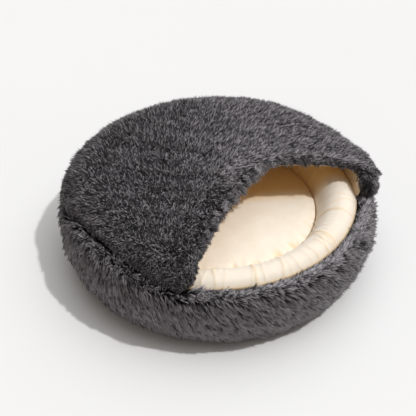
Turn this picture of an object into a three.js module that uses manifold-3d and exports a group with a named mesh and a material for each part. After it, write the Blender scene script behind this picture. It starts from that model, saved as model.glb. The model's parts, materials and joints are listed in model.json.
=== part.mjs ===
// A round pet bed: a stuffed ring of long-pile fur lined with a gathered plush roll, a plush cushion in
// the middle, and a flat fur hood with a plush lining sewn over the back two thirds, open at the front.
// Millimetres, +Z up. The bed rests on its base cloth and the hood opens towards -Y.
import * as THREE from "three";
import { mergeVertices } from "three/addons/utils/BufferGeometryUtils.js";
import Module from "manifold-3d";

const wasm = await Module();
wasm.setup();

// Driving sizes, to the tips of the pile
const TIP_R = 250; // widest radius of the fur ring
const TIP_Z = 69; // height of that widest place
const FLOOR_R = 217; // radius of the ring's foot on the floor
const VALLEY_R = 157.6; // where the roll meets the cushion
const VALLEY_Z = 62;
const CUSHION_TOP = 76;
const WALL_R = 208; // upright joint between the fur half and the plush half of the ring
const WALL_Z = 70;
const BASE_T = 2.6; // base cloth
const HOOD_T = 12; // hood: backing and pile
const LIP_T = 4; // its free edge, where the pile lies down over the backing
const LINING_T = 2;
const GAP = 0.3; // between touching pieces
const LINING_GAP = 0.9;
const RING_STEPS = 72;
const ROLL_STEPS = 2 * RING_STEPS;
const LUMP = 1.7; // how far the clumps of the pile stand out or sink

const TURN = 2 * Math.PI;
const rad = THREE.MathUtils.degToRad;
const lerp = THREE.MathUtils.lerp;
const smooth = THREE.MathUtils.smoothstep;

// Azimuth runs from the front (-Y) towards +X.
const around = (r, azimuth, z) =>
  new THREE.Vector3(r * Math.sin(azimuth), -r * Math.cos(azimuth), z);

// The ring's top by azimuth. The crest is where the hood is sewn on, or the top of the bare ring at the
// front. The ledge inside it carries the hood's edge. rollZ is the crown of the plush roll, pressed down
// under the hood's feet, and swell is how far the hood bellies out over its seam: it leans to +X.
const RING_TOP = [
  { at: -180, crestR: 246, crestZ: 95, ledgeR: 231, ledgeZ: 95, rollZ: 105, swell: 4.5 },
  { at: -130, crestR: 245, crestZ: 95.5, ledgeR: 230, ledgeZ: 95.5, rollZ: 105, swell: 4.5 },
  { at: -118, crestR: 235, crestZ: 102, ledgeR: 220, ledgeZ: 102, rollZ: 106, swell: 5 },
  { at: -106, crestR: 219, crestZ: 110, ledgeR: 208, ledgeZ: 110, rollZ: 108, swell: 5 },
  { at: -92, crestR: 212, crestZ: 113, ledgeR: 204, ledgeZ: 113, rollZ: 109, swell: 5 },
  { at: -76, crestR: 216, crestZ: 110, ledgeR: 207, ledgeZ: 110, rollZ: 108, swell: 5 },
  { at: -62, crestR: 227, crestZ: 104, ledgeR: 215, ledgeZ: 104, rollZ: 105, swell: 5 },
  { at: -52, crestR: 232, crestZ: 103, ledgeR: 221, ledgeZ: 103, rollZ: 106, swell: 6 },
  { at: -40, crestR: 231, crestZ: 107, ledgeR: 225.5, ledgeZ: 105, rollZ: 111, swell: 6 },
  { at: 0, crestR: 231, crestZ: 107.5, ledgeR: 225.5, ledgeZ: 105.5, rollZ: 112, swell: 6 },
  { at: 40, crestR: 231, crestZ: 107, ledgeR: 225.5, ledgeZ: 105, rollZ: 112, swell: 26 },
  { at: 50, crestR: 232, crestZ: 103, ledgeR: 221, ledgeZ: 103, rollZ: 107, swell: 30 },
  { at: 62, crestR: 232, crestZ: 103, ledgeR: 219, ledgeZ: 103, rollZ: 106, swell: 26 },
  { at: 76, crestR: 228, crestZ: 105, ledgeR: 215, ledgeZ: 105, rollZ: 108, swell: 20 },
  { at: 92, crestR: 226, crestZ: 106, ledgeR: 213, ledgeZ: 106, rollZ: 109, swell: 18 },
  { at: 106, crestR: 232, crestZ: 103, ledgeR: 219, ledgeZ: 103, rollZ: 108, swell: 16 },
  { at: 118, crestR: 240, crestZ: 98, ledgeR: 225, ledgeZ: 98, rollZ: 106, swell: 12 },
  { at: 130, crestR: 245, crestZ: 95.5, ledgeR: 230, ledgeZ: 95.5, rollZ: 105, swell: 8 },
  { at: 150, crestR: 246, crestZ: 95, ledgeR: 231, ledgeZ: 95, rollZ: 105, swell: 4.5 },
  { at: 180, crestR: 246, crestZ: 95, ledgeR: 231, ledgeZ: 95, rollZ: 105, swell: 4.5 },
];
const JOINT_R = 219.5; // fur and plush part here, or a little inside a ledge that lies further in
const JOINT_INSET = 4;
const JOINT_DROP = 7; // below the crest
const THROAT_IN = 6.6; // the joint runs this far in and down before it meets the upright wall
const THROAT_DROP = 10;

// The hood's free edge from its left foot to its right foot, at the tips of its locks.
const ARCH = [
  { x: -169, y: -134, z: 105 },
  { x: -165, y: -136, z: 114 },
  { x: -152, y: -128, z: 125 },
  { x: -128, y: -115, z: 130 },
  { x: -99, y: -102, z: 135 },
  { x: -62, y: -87, z: 139 },
  { x: -4, y: -66, z: 143 },
  { x: 43, y: -57, z: 145 },
  { x: 73, y: -61, z: 146 },
  { x: 98, y: -77, z: 146 },
  { x: 126, y: -99, z: 144 },
  { x: 153, y: -122, z: 139 },
  { x: 174, y: -142, z: 126 },
  { x: 182, y: -147, z: 110 },
];
const EDGE_RISE = 4; // from the locks' tips up to the hood just behind its free edge

// The hood's right foot ends in a rounded toe that stands on the ring.
const TOE = { r: 235, z: 119, azimuth: 48, across: 17, along: 28, up: 19 };

// Heights of the hood's upper side: a crown over the ring, a sag inside it, and a rise to the opening.
const HOOD_HEIGHTS = [
  { x: 0, y: 206, z: 137 },
  { x: -125, y: 164, z: 136 },
  { x: 125, y: 164, z: 137 },
  { x: -196, y: 62, z: 134 },
  { x: 196, y: 62, z: 137 },
  { x: -190, y: -35, z: 130 },
  { x: 196, y: -35, z: 137 },
  { x: 0, y: 130, z: 129 },
  { x: -95, y: 92, z: 128 },
  { x: 95, y: 92, z: 130 },
  { x: -125, y: -10, z: 128 },
  { x: 125, y: -5, z: 133 },
  { x: 0, y: 35, z: 131 },
];
const HEIGHT_REACH = 42; // how far one height is felt

// The fur ring's side, from its foot to where it is nearly at its widest.
const RING_SIDE = [
  { r: FLOOR_R + 10.5, z: 9 },
  { r: TIP_R - 13, z: 21 },
  { r: TIP_R - 5, z: 39 },
  { r: TIP_R - 0.6, z: 58 },
];

// The plush roll's face from its crown down to the valley, as shares of the way across and up.
const ROLL_FACE = [
  { across: 1, up: 1 },
  { across: 0.76, up: 0.965 },
  { across: 0.5, up: 0.84 },
  { across: 0.25, up: 0.62 },
  { across: 0.06, up: 0.3 },
];
const ROLL_CROWN_IN = 21; // from the joint in to the roll's crown
const CREASE_DEPTH = 2.6; // of the roll's gathers
const CREASE_STRIDES = [3, 4, 3, 5, 3, 3, 4, 2, 4, 3, 5, 3, 4]; // steps from one gather to the next

// The cushion's outline: shares of its radius, heights, and how deep its puckers are there.
const CUSHION_PROFILE = [
  { share: 1, z: BASE_T + GAP, pucker: 0 },
  { share: 1, z: VALLEY_Z - 10, pucker: 0 },
  { share: 0.998, z: VALLEY_Z + 3, pucker: 0.6 },
  { share: 0.97, z: CUSHION_TOP - 5, pucker: 1.8 },
  { share: 0.9, z: CUSHION_TOP - 1.6, pucker: 1.3 },
  { share: 0.75, z: CUSHION_TOP - 0.3, pucker: 0.5 },
  { share: 0.4, z: CUSHION_TOP, pucker: 0 },
];
const CUSHION_PUCKERS = 18;

// One column of a table at an azimuth, eased between its rows.
function column(rows, name, azimuth) {
  const degrees = THREE.MathUtils.radToDeg(Math.atan2(Math.sin(azimuth), Math.cos(azimuth)));
  const k = Math.max(1, rows.findIndex((row) => row.at >= degrees - 1e-9));
  const before = rows[k - 1];
  const after = rows[k];
  return lerp(before[name], after[name], smooth(degrees, before.at, after.at));
}

const topAtStep = Array.from({ length: RING_STEPS + 1 }, (_, i) => {
  const names = Object.keys(RING_TOP[0]);
  const azimuth = (i / RING_STEPS) * TURN;
  const top = Object.fromEntries(names.map((name) => [name, column(RING_TOP, name, azimuth)]));
  const jointR = Math.min(JOINT_R, top.ledgeR - JOINT_INSET);
  const innerR = Math.min(WALL_R, jointR - THROAT_IN);
  return { ...top, jointR, jointZ: top.crestZ - JOINT_DROP, innerR };
});

// The ring's top at any azimuth, straight between the ring's steps so that all pieces share its facets.
function ringTop(azimuth) {
  const place = THREE.MathUtils.euclideanModulo(azimuth / TURN, 1) * RING_STEPS;
  const step = Math.min(Math.floor(place + 1e-6), RING_STEPS - 1);
  const here = topAtStep[step];
  const next = topAtStep[step + 1];
  const between = (name) => lerp(here[name], next[name], place - step);
  return Object.fromEntries(Object.keys(here).map((name) => [name, between(name)]));
}

// Clumps in the pile: three crossing waves of unlike lengths, between -1 and 1.
const clump = (a, b) =>
  0.4 * Math.sin(0.085 * a + 0.055 * b + 1.3) +
  0.3 * Math.sin(0.07 * a - 0.095 * b + 0.4) +
  0.3 * Math.sin(0.15 * a + 0.12 * b + 2.1);

// A closed surface through rings of points. With two poles it is a ball, and without them the last
// ring joins the first, which makes a ring-shaped body.
function closedLoft(rings, poles) {
  const steps = rings[0].length;
  const points = rings.flat();
  const index = [];
  const last = poles ? rings.length - 1 : rings.length;
  for (let j = 0; j < last; j++)
    for (let i = 0; i < steps; i++) {
      const k = (i + 1) % steps;
      const above = ((j + 1) % rings.length) * steps;
      index.push(j * steps + i, j * steps + k, above + k);
      index.push(j * steps + i, above + k, above + i);
    }
  if (poles) {
    const first = points.push(poles[0]) - 1;
    const end = points.push(poles[1]) - 1;
    const top = (rings.length - 1) * steps;
    for (let i = 0; i < steps; i++) {
      const k = (i + 1) % steps;
      index.push(first, k, i);
      index.push(end, top + i, top + k);
    }
  }
  return new THREE.BufferGeometry().setFromPoints(points).setIndex(index);
}

// Rings around the axis from a profile that may change with azimuth: outline(azimuth) lists [r, z].
function ringsOf(outline, steps) {
  const sections = [];
  for (let i = 0; i < steps; i++) {
    const azimuth = (i / steps) * TURN;
    sections.push(outline(azimuth).map(([r, z]) => around(r, azimuth, z)));
  }
  return sections[0].map((_, j) => sections.map((section) => section[j]));
}

// The outer, fur half of the stuffed ring, from the floor up and over to its joint with the plush.
function furRing() {
  const shoulderSteps = 4;
  const squareness = 0.8; // under 1, the shoulder is fuller than a quarter of an ellipse
  const outline = (azimuth) => {
    const top = ringTop(azimuth);
    const side = RING_SIDE.map(({ r, z }) => [r, z]);
    for (let k = 0; k < shoulderSteps; k++) {
      const turn = (k / shoulderSteps) * (Math.PI / 2);
      const r = lerp(top.crestR, TIP_R, Math.cos(turn) ** squareness);
      side.push([r, lerp(TIP_Z, top.crestZ, Math.sin(turn))]);
    }
    const lumpy = side.map(([r, z]) => {
      const out = LUMP * clump(azimuth * TIP_R, z);
      return [Math.min(r + out, TIP_R + LUMP / 2), z];
    });
    return [
      [WALL_R + GAP, 0],
      [FLOOR_R, 0],
      ...lumpy,
      [top.crestR, top.crestZ],
      [top.ledgeR, top.ledgeZ],
      [top.jointR, top.jointZ],
      [top.innerR + GAP, top.jointZ - THROAT_DROP],
      [WALL_R + GAP, WALL_Z],
    ];
  };
  return closedLoft(ringsOf(outline, RING_STEPS));
}

// Gathers of the plush roll: creases at uneven steps around it, each with its own depth from 0 to 1.
function gathers() {
  const depth = new Array(ROLL_STEPS).fill(0);
  let at = 0;
  for (let k = 0; at < ROLL_STEPS - 1; k++) {
    depth[at] = 0.45 + 0.55 * Math.abs(Math.sin(2.4 * k + 0.6));
    at += CREASE_STRIDES[k % CREASE_STRIDES.length];
  }
  return depth;
}

// The plush roll lining the ring, gathered by the seams along both its edges.
function plushRoll() {
  const creases = gathers();
  const slack = 0.7; // behind the joint, where the facets of the two halves differ
  const outline = (azimuth) => {
    const top = ringTop(azimuth);
    const crease = CREASE_DEPTH * creases[Math.round((azimuth / TURN) * ROLL_STEPS) % ROLL_STEPS];
    const crownR = top.jointR - ROLL_CROWN_IN;
    const inner = ROLL_FACE.map(({ across, up }) => [
      lerp(VALLEY_R, crownR, across),
      lerp(VALLEY_Z, top.rollZ, up),
    ]);
    const shoulder = [lerp(crownR, top.jointR, 0.5), lerp(top.jointZ, top.rollZ, 0.8)];
    const face = [shoulder, ...inner].map(([r, z]) => [r + crease / 2, z - crease]);
    return [
      [WALL_R - 2 * slack, BASE_T + GAP],
      [WALL_R - 3 * slack, WALL_Z],
      [top.innerR - 3 * slack, top.jointZ - THROAT_DROP],
      [top.jointR - slack, top.jointZ],
      ...face,
      [VALLEY_R, VALLEY_Z],
      [VALLEY_R, BASE_T + GAP],
    ];
  };
  return closedLoft(ringsOf(outline, ROLL_STEPS));
}

// A filled disc: rings from the middle of its underside to the middle of its top.
function disc(outline, low, high) {
  const poles = [new THREE.Vector3(0, 0, low), new THREE.Vector3(0, 0, high)];
  return closedLoft(ringsOf(outline, RING_STEPS), poles);
}

// The round cushion in the middle: crowned, drawn in along its seam, with puckers running in from it.
function cushion() {
  const outline = (azimuth) => {
    const wander = 1.5 * Math.sin(3 * azimuth);
    const pinch = Math.max(0, Math.sin(CUSHION_PUCKERS * azimuth + wander));
    return CUSHION_PROFILE.map((p) => [p.share * (VALLEY_R - GAP), p.z - p.pucker * pinch]);
  };
  return disc(outline, BASE_T + GAP, CUSHION_TOP);
}

// The flat cloth that closes the bed underneath.
function baseCloth() {
  const edge = WALL_R - GAP;
  const outline = () => [
    [edge, 0],
    [edge, BASE_T],
  ];
  return disc(outline, 0, BASE_T);
}

const LOCK_REACH = 10; // the hood's own edge lies this far inside the tips of its locks
const EDGE_STEPS = 26;
const HOOD_CENTRE = new THREE.Vector3(15, 95, 0);
const FOOT_STEP = 11; // the hood's seam ends on this step of the ring, each side of the front
const archTips = new THREE.CatmullRomCurve3(
  ARCH.map((p) => new THREE.Vector3(p.x, p.y, p.z)),
);

// The hood's free edge at a step, and the level way out over the opening, square to that edge. The edge
// lies inside the tips of its locks, except at the feet.
function archEdge(step) {
  const share = step / EDGE_STEPS;
  const reach = 0.03;
  const before = archTips.getPointAt(Math.max(0, share - reach));
  const after = archTips.getPointAt(Math.min(1, share + reach));
  const along = after.sub(before).setZ(0).normalize();
  const out = new THREE.Vector3(along.y, -along.x, 0);
  const inset = LOCK_REACH * Math.sin(Math.PI * share) ** 0.8;
  return { point: archTips.getPointAt(share).addScaledVector(out, -inset), out, along };
}

// The hood's height: a mean of the stated heights and of those just behind its free edge, but for the
// feet, near ones first.
function hoodHeight(x, y) {
  const farWeight = 1e-5;
  let total = 0;
  let sum = 0;
  const edge = ARCH.slice(2, -2).map((p) => ({ ...p, z: p.z + EDGE_RISE }));
  for (const p of [...HOOD_HEIGHTS, ...edge]) {
    const far = (x - p.x) ** 2 + (y - p.y) ** 2;
    const weight = Math.exp(-far / (2 * HEIGHT_REACH ** 2)) + farWeight;
    total += weight;
    sum += weight * p.z;
  }
  return sum / total;
}

const FOOT_SHOULDER = 22; // the hood turns over in this width at its feet, and in less at its free edge
const EDGE_SHOULDER = 14;
const NEAR_FOOT = 5; // steps over which the rim changes from a foot's section to the next one

// One skin of the hood. Around its rim it follows the ring's crest or ledge and then the open edge. Each
// line in from the rim turns over a rounded shoulder and then keeps to the hood's height less a depth.
// Shares up to 1 lie on the shoulder, and those from 1 to 2 on the rest of the way to the centre.
function hoodSkin({ rimR, edgeDrop, edgeIn, depth, shoulder, swelling, lump }, shares) {
  const rim = [];
  for (let i = FOOT_STEP; i <= RING_STEPS - FOOT_STEP; i++) {
    const azimuth = (i / RING_STEPS) * TURN;
    const top = ringTop(azimuth);
    const fromFoot = Math.min(i, RING_STEPS - i) - FOOT_STEP;
    const width = lerp(FOOT_SHOULDER, shoulder, smooth(fromFoot, 0, NEAR_FOOT));
    rim.push({ point: around(rimR(top), azimuth, top.crestZ + GAP), width, swell: top.swell });
  }
  for (let i = 1; i < EDGE_STEPS; i++) {
    const { point, out } = archEdge(i);
    const nearFoot = 1 - smooth(Math.min(i, EDGE_STEPS - i), 0, NEAR_FOOT);
    const { swell } = ringTop(Math.sign(point.x) * rad(50));
    const width = lerp(EDGE_SHOULDER, FOOT_SHOULDER, nearFoot);
    point.addScaledVector(out, -edgeIn);
    point.z -= edgeDrop * (1 - 0.9 * nearFoot);
    rim.push({ point, width, swell: nearFoot * swell });
  }
  const skin = shares.map(() => []);
  for (const { point, width, swell } of rim) {
    const run = HOOD_CENTRE.clone().setZ(point.z).sub(point);
    const inward = run.clone().normalize();
    shares.forEach((share, j) => {
      const inset = share <= 1 ? share * width : lerp(width, run.length(), share - 1);
      const q = Math.min(inset / width, 1);
      const belly = swelling * swell * Math.sin(Math.PI * Math.min(1, q * 1.6) ** 0.5);
      const p = point.clone().addScaledVector(inward, inset - belly);
      const risen = Math.sqrt(1 - (1 - q) ** 2);
      const rough = lump * clump(p.x, p.y) * Math.min(1, inset / 20);
      p.z = lerp(point.z, hoodHeight(p.x, p.y) - depth, risen) + rough;
      skin[j].push(p);
    });
  }
  const { x, y } = HOOD_CENTRE;
  return { skin, pole: new THREE.Vector3(x, y, hoodHeight(x, y) - depth + lump * clump(x, y)) };
}

// Two skins closed along their rims: a sheet with the pile on its upper side.
function sheetOf(upper, lower) {
  return closedLoft([...lower.skin.toReversed(), ...upper.skin], [lower.pole, upper.pole]);
}

const OUTER_SHARES = [0, 0.06, 0.22, 0.52, 1, 1.2, 1.4, 1.62, 1.82];
const INNER_SHARES = [0, 0.1, 0.4, 1, 1.3, 1.65];

const hoodUpper = {
  rimR: (top) => top.crestR,
  edgeDrop: 0,
  edgeIn: 0,
  depth: 0,
  shoulder: 40,
  swelling: 1,
  lump: LUMP,
};
const hoodUnder = {
  rimR: (top) => top.ledgeR,
  edgeDrop: LIP_T,
  edgeIn: 1,
  depth: HOOD_T,
  shoulder: 26,
  swelling: 0.2,
  lump: 0,
};

// A closed mesh as a solid that can be joined to others.
function solidOf(geometry) {
  const merged = mergeVertices(geometry, 1e-3);
  return new wasm.Manifold(
    new wasm.Mesh({
      numProp: 3,
      vertProperties: merged.attributes.position.array,
      triVerts: new Uint32Array(merged.index.array),
    }),
  );
}

// The solid of a closed surface whose triangles are listed with either side out.
function facingOut(geometry) {
  const solid = solidOf(geometry);
  if (solid.volume() > 0) return solid;
  return solidOf(geometry.setIndex([...geometry.index.array].reverse()));
}

function geometryOf(solid) {
  const mesh = solid.getMesh();
  const geometry = new THREE.BufferGeometry();
  geometry.setAttribute("position", new THREE.BufferAttribute(mesh.vertProperties, 3));
  return geometry.setIndex(new THREE.BufferAttribute(mesh.triVerts, 1));
}

// The toe is an egg lying along the ring, cut level above the highest part of the crest under it.
function toe() {
  const egg = new THREE.SphereGeometry(1, 20, 14);
  egg.deleteAttribute("normal");
  egg.deleteAttribute("uv");
  const azimuth = rad(TOE.azimuth);
  egg.scale(TOE.across, TOE.along, TOE.up).rotateZ(azimuth - Math.PI / 2);
  const place = around(TOE.r, azimuth, TOE.z);
  egg.translate(place.x, place.y, place.z);
  const { crestZ } = ringTop(rad(TOE.azimuth - 8));
  return facingOut(egg).trimByPlane([0, 0, 1], crestZ + 3 * GAP);
}

// The fur hood, its pile included.
function furHood() {
  const sheet = sheetOf(hoodSkin(hoodUpper, OUTER_SHARES), hoodSkin(hoodUnder, INNER_SHARES));
  return geometryOf(facingOut(sheet).add(toe()));
}

// The lining, a sheet that follows the hood's underside. At the free edge it starts a little way in, as
// low as the underside has got by there. At the feet the hood cuts it back.
function hoodLining() {
  const edgeIn = 4;
  const startDrop = 5.5;
  const skinAt = (deeper) =>
    hoodSkin(
      {
        ...hoodUnder,
        rimR: (top) => top.ledgeR - deeper,
        edgeDrop: LIP_T + startDrop + deeper,
        edgeIn: edgeIn + deeper / 2,
        depth: HOOD_T + deeper,
        shoulder: hoodUnder.shoulder - deeper,
      },
      INNER_SHARES,
    );
  const hood = solidOf(furHood());
  const sheet = facingOut(sheetOf(skinAt(LINING_GAP), skinAt(LINING_GAP + LINING_T)));
  const cut = sheet.subtract(hood).subtract(hood.translate([0, 0, -GAP]));
  const [largest] = cut.decompose().sort((a, b) => b.volume() - a.volume());
  return geometryOf(largest);
}

// Locks of pile along an edge, fused into a narrow strip of backing. The stations along the strip hold
// its centre, the way that the locks point, and the way along the strip. Each lock has a lean, a fall and
// a length of its own.
function lockFringe({ stations, strands, reach, width, stripWidth, stripHeight, droop }) {
  const up = new THREE.Vector3(0, 0, 1);
  const corners = [
    [-0.5, -0.5],
    [0.5, -0.5],
    [0.5, 0.5],
    [-0.5, 0.5],
  ];
  const sections = stations.map(({ centre, out }) =>
    corners.map(([a, b]) => {
      const side = centre.clone().addScaledVector(out, a * stripWidth);
      return side.addScaledVector(up, b * stripHeight);
    }),
  );
  let joined = facingOut(closedLoft(sections, [stations[0].centre, stations.at(-1).centre]));
  for (let k = 0; k < strands; k++) {
    const place = ((k + 0.5) / strands) * (stations.length - 1);
    const before = stations[Math.floor(place)];
    const after = stations[Math.floor(place) + 1];
    const [root, out, along] = ["centre", "out", "along"].map((name) =>
      before[name].clone().lerp(after[name], place % 1),
    );
    const lean = 0.35 * Math.sin(5.1 * k + 1) + 0.2 * Math.sin(1.7 * k);
    const fall = droop + 0.15 * Math.sin(3.3 * k + 0.5);
    const length = reach * (0.8 + 0.2 * Math.sin(2.9 * k + 2));
    const way = out.clone().addScaledVector(along, lean).addScaledVector(up, -fall).normalize();
    root.addScaledVector(up, 0.15 * stripHeight * Math.sin(4.3 * k));
    const tip = root.clone().addScaledVector(way, length);
    const belly = root.clone().addScaledVector(way, 0.3 * stripWidth);
    const girth = [0, 1, 2].map((j) => {
      const turn = (j / 3) * TURN + Math.PI / 2;
      const side = belly.clone().addScaledVector(along, (Math.cos(turn) * width) / 2);
      return side.addScaledVector(up, (Math.sin(turn) * width) / 3);
    });
    joined = joined.add(facingOut(closedLoft([girth], [root, tip])));
  }
  return geometryOf(joined);
}

// Locks that hang over the opening from the hood's edge.
function hoodLocks() {
  const stripWidth = 2.4;
  const stations = [];
  for (let i = 3; i <= EDGE_STEPS - 3; i++) {
    const { point, out, along } = archEdge(i);
    point.addScaledVector(out, stripWidth / 2 + 2 * GAP);
    point.z -= LIP_T / 2;
    stations.push({ centre: point, out, along });
  }
  return lockFringe({
    stations,
    strands: 72,
    reach: LOCK_REACH,
    width: 5,
    stripWidth,
    stripHeight: 3.6,
    droop: 0.3,
  });
}

// Locks along the bare front of the ring, lying over its joint with the plush roll.
function ringLocks() {
  const steps = 8; // each side of the front
  const stations = [];
  for (let i = -steps; i <= steps; i++) {
    const azimuth = (i / RING_STEPS) * TURN;
    const top = ringTop(azimuth);
    const centre = around(top.ledgeR + 1.2, azimuth, top.ledgeZ + 2.3);
    stations.push({ centre, out: around(-1, azimuth, 0), along: around(1, azimuth + Math.PI / 2, 0) });
  }
  return lockFringe({
    stations,
    strands: 64,
    reach: 8.5,
    width: 4.6,
    stripWidth: 2.4,
    stripHeight: 2.6,
    droop: 0.25,
  });
}

const fabric = (color, roughness = 1) =>
  new THREE.MeshStandardMaterial({ color, roughness, metalness: 0 });
const greyPile = fabric("#565456");
const creamPlush = fabric("#f2e2c8", 0.95);
const darkCloth = fabric("#3a393b", 0.9);

const bed = new THREE.Group();

function sew(name, geometry, material) {
  const mesh = new THREE.Mesh(geometry, material);
  mesh.name = name;
  mesh.geometry.computeVertexNormals();
  bed.add(mesh);
}

sew("base_cloth", baseCloth(), darkCloth);
sew("fur_ring", furRing(), greyPile);
sew("plush_roll", plushRoll(), creamPlush);
sew("cushion", cushion(), creamPlush);
sew("fur_hood", furHood(), greyPile);
sew("hood_lining", hoodLining(), creamPlush);
sew("hood_edge_locks", hoodLocks(), greyPile);
sew("ring_edge_locks", ringLocks(), greyPile);

// The origin is the middle of the footprint.
const box = new THREE.Box3().setFromObject(bed);
const middle = box.getCenter(new THREE.Vector3());
bed.position.set(-middle.x, -middle.y, -box.min.z);

export default bed;
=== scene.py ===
# %% [markdown]
# # A hooded donut bed for a small pet
# The real bed is sewn from three cloths. A stuffed ring and a flat hood are cut from long grey pile. The
# ring is lined with a roll of cream plush, and a cream cushion fills the middle. A dark cloth closes the
# bed underneath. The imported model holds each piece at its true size, and this script dresses it. All
# shapes are worked out in millimetres and go into the meshes in metres.

# %% Start
import json
import math

import bpy
import numpy as np
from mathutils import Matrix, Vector

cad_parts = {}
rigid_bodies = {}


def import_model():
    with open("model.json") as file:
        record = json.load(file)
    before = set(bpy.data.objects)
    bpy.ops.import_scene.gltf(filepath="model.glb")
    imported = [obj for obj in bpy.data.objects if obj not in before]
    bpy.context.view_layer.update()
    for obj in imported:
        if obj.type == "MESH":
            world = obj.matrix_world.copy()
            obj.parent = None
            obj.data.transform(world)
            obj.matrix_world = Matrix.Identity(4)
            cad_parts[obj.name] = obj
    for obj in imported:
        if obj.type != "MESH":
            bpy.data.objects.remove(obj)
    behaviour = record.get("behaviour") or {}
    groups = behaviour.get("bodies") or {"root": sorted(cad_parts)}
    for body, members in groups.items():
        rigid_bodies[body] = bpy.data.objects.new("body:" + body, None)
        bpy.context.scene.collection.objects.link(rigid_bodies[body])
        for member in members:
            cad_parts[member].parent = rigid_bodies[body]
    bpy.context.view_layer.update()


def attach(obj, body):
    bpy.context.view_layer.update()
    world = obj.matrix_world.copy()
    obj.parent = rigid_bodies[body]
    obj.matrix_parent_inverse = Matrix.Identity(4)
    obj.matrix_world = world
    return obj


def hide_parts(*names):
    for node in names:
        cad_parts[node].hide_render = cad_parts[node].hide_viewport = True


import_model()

# %% [markdown]
# ## Camera
# The picture was taken from the bed's front left, looking down at about 40 degrees. The camera comes
# first, so that every later piece can be judged in the same view. Its lens and its small shift place
# the bed in a square picture.

# %% Camera
CAMERA_LOOKS_AT = Vector((0.0, 0.0, 0.060))
CAMERA_DISTANCE = 1.224
CAMERA_ELEVATION = math.radians(40.4)
CAMERA_TO_LEFT = math.radians(42.0)
CAMERA_LENS = 65.1

back = Vector((
    -math.sin(CAMERA_TO_LEFT) * math.cos(CAMERA_ELEVATION),
    -math.cos(CAMERA_TO_LEFT) * math.cos(CAMERA_ELEVATION),
    math.sin(CAMERA_ELEVATION),
))
camera_data = bpy.data.cameras.new("camera")
camera_data.lens = CAMERA_LENS
camera_data.shift_x = -0.0243
camera_data.shift_y = 0.0036
camera = bpy.data.objects.new("camera", camera_data)
camera.location = CAMERA_LOOKS_AT + back * CAMERA_DISTANCE
camera.rotation_euler = (-back).to_track_quat("-Z", "Y").to_euler()
bpy.context.scene.collection.objects.link(camera)
bpy.context.scene.camera = camera
print("camera at", tuple(round(x, 3) for x in camera.location))

# %% [markdown]
# ## Arrays
# A surface here is an array of points with two directions, one round the bed and one across it. The
# helpers below smooth a profile, find the normals, and turn the array into a mesh in one call, without
# a loop over its vertices.

# %% Helpers for surfaces
MM = 0.001
UP = np.array([0.0, 0.0, 1.0])
rng = np.random.default_rng(11)


def unit(vectors):
    """Each vector divided by its length."""
    return vectors / np.maximum(np.linalg.norm(vectors, axis=-1, keepdims=True), 1e-9)


def smooth(x, low, high):
    """0 below low, 1 above high, and 3s^2 - 2s^3 between them."""
    s = np.clip((np.asarray(x, float) - low) / (high - low), 0, 1)
    return s * s * (3 - 2 * s)


def lerp(a, b, share):
    """a + (b - a) share."""
    return a + (b - a) * share


def around(r, azimuth, z):
    """A point at radius r and height z, with its azimuth a in degrees from the front:
    (r sin a, -r cos a, z)."""
    turn = np.radians(azimuth)
    return np.stack(np.broadcast_arrays(r * np.sin(turn), -r * np.cos(turn), z), axis=-1)


def through(points, count):
    """A smooth curve through points along axis 1. Between b and c, with a before and d after:
    p(t) = (2b + (c - a) t + (2a - 5b + 4c - d) t^2 + (3b - a - 3c + d) t^3) / 2."""
    first = 2 * points[:, :1] - points[:, 1:2]
    last = 2 * points[:, -1:] - points[:, -2:-1]
    padded = np.concatenate([first, points, last], axis=1)
    place = np.linspace(0, points.shape[1] - 1, count)
    k = np.minimum(place.astype(int), points.shape[1] - 2)
    t = (place - k)[:, None]
    a, b, c, d = (padded[:, k + j] for j in range(4))
    return (2 * b + (c - a) * t + (2 * a - 5 * b + 4 * c - d) * t**2 + (3 * b - a - 3 * c + d) * t**3) / 2


def normals_of(grid):
    """Unit normals of a grid of points: the step round the bed crossed with the step across it."""
    return unit(np.cross(np.gradient(grid, axis=0), np.gradient(grid, axis=1)))


def grid_faces(rows, columns, close_rows=False, close_columns=False):
    """Four corners for each cell of a grid, counted row by row, with closed directions joined up."""
    i = np.arange(rows if close_rows else rows - 1)[:, None]
    j = np.arange(columns if close_columns else columns - 1)[None, :]
    after_i = (i + 1) % rows
    after_j = (j + 1) % columns
    corners = np.broadcast_arrays(i * columns + j, after_i * columns + j, after_i * columns + after_j,
                                  i * columns + after_j)
    return np.stack(corners, axis=-1).reshape(-1, 4)


def fan_faces(rim, pole):
    """A triangle from each step of a closed rim to its pole."""
    return np.stack([rim, np.roll(rim, -1), np.full(len(rim), pole)], axis=1)


def make_piece(name, points, faces, material, shades=None):
    """A mesh from points in millimetres and lists of equal-sided faces. shades are named values per
    point, which the material reads."""
    mesh = bpy.data.meshes.new(name)
    mesh.vertices.add(len(points))
    mesh.vertices.foreach_set("co", (points * MM).astype(np.float32).ravel())
    sides = np.concatenate([np.full(len(f), f.shape[1]) for f in faces])
    mesh.loops.add(int(sides.sum()))
    mesh.loops.foreach_set("vertex_index", np.concatenate([f.ravel() for f in faces]).astype(np.int32))
    mesh.polygons.add(len(sides))
    mesh.polygons.foreach_set("loop_start", (np.cumsum(sides) - sides).astype(np.int32))
    mesh.polygons.foreach_set("loop_total", sides.astype(np.int32))
    mesh.update(calc_edges=True)
    mesh.polygons.foreach_set("use_smooth", np.ones(len(sides), bool))
    for shade, values in (shades or {}).items():
        attribute = mesh.attributes.new(shade, "FLOAT", "POINT")
        attribute.data.foreach_set("value", values.astype(np.float32).ravel())
    mesh.materials.append(material)
    piece = bpy.data.objects.new(name, mesh)
    bpy.context.scene.collection.objects.link(piece)
    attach(piece, "root")
    print(f"{name}: {int((sides - 2).sum())} triangles")
    return piece


# %% [markdown]
# ## Colours and shader nodes
# Colours are picked as they look on screen and turned to linear light by one function. One small
# function adds a node, so that each material reads as a list of what is in it.

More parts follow.
